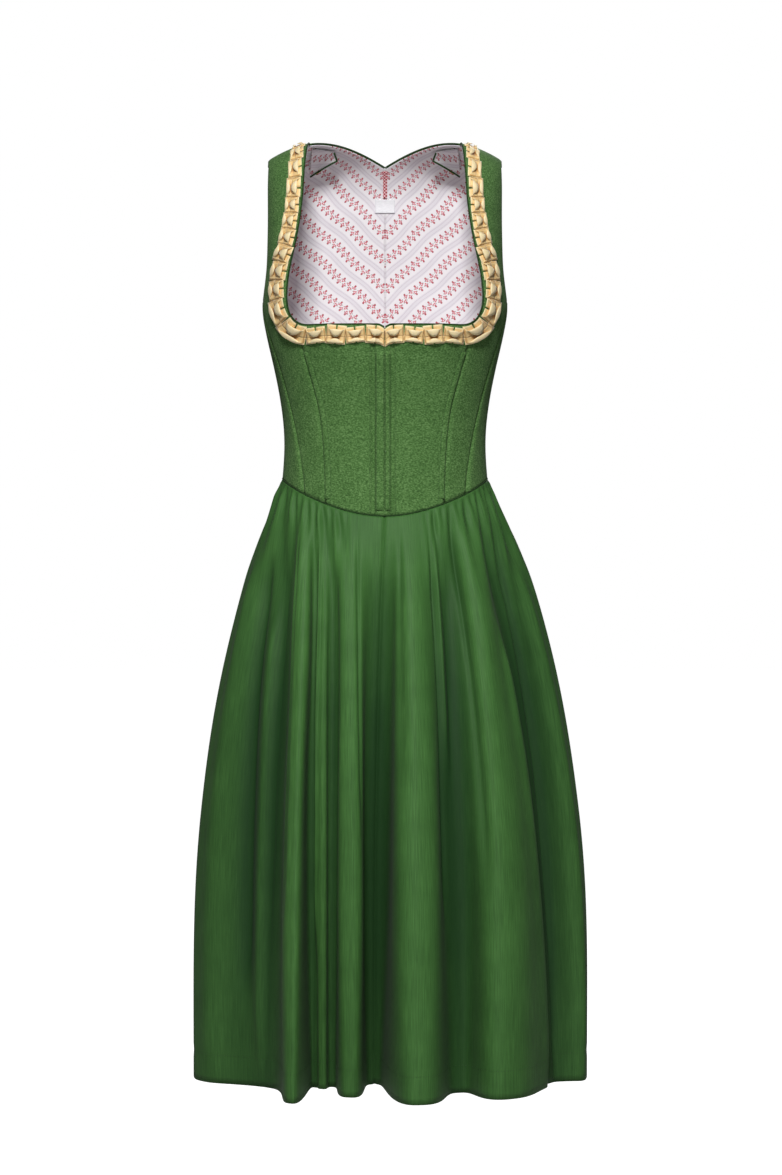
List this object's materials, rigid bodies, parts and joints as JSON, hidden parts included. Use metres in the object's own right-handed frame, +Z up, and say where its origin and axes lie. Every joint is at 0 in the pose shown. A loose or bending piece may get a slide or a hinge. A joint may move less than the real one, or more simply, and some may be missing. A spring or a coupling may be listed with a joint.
{
  "type": "dirndl dress",
  "caption": "Sleeveless midi dirndl dress: boned bodice with a wide neckline edged in pinched ribbon trim, and a gathered skirt, filled out as worn.",
  "frame": {"origin": "midway between the shoulder straps, level with their tops", "axes": "+Z up, the front faces -Y, the wearer's left is +X"},
  "size_m": [0.468, 0.3932, 1.1182],
  "materials": {
    "bodice_cloth": "matte heathered linen and wool weave",
    "skirt_cloth": "smooth cotton sateen with a soft sheen",
    "piping": "covered cord, matte",
    "trim_ribbon": "pleated and pinched cream ribbon, low sheen",
    "lining": "printed cotton with rows of small red flowers and pale stripes",
    "red_tape": "herringbone cotton tape",
    "label": "plain woven satin label"
  },
  "bodies": {
    "root": {"front_center_left": "bodice_cloth", "front_center_right": "bodice_cloth", "front_side_left": "bodice_cloth", "front_side_right": "bodice_cloth", "side_left": "bodice_cloth", "side_right": "bodice_cloth", "back_left": "bodice_cloth", "back_right": "bodice_cloth", "closure_left": "bodice_cloth", "closure_right": "bodice_cloth", "boning_channel_left": "bodice_cloth", "boning_channel_right": "bodice_cloth", "neck_piping_left": "piping", "neck_piping_right": "piping", "neck_piping_back": "piping", "waist_piping": "piping", "trim_left": "trim_ribbon", "trim_right": "trim_ribbon", "trim_end_left": "trim_ribbon", "trim_end_right": "trim_ribbon", "back_lining_left": "lining", "back_lining_right": "lining", "strap_end_left": "lining", "strap_end_right": "lining", "back_tape": "red_tape", "neck_label": "label", "skirt_front_left": "skirt_cloth", "skirt_front_right": "skirt_cloth", "skirt_back": "skirt_cloth"}
  },
  "joints": []
}
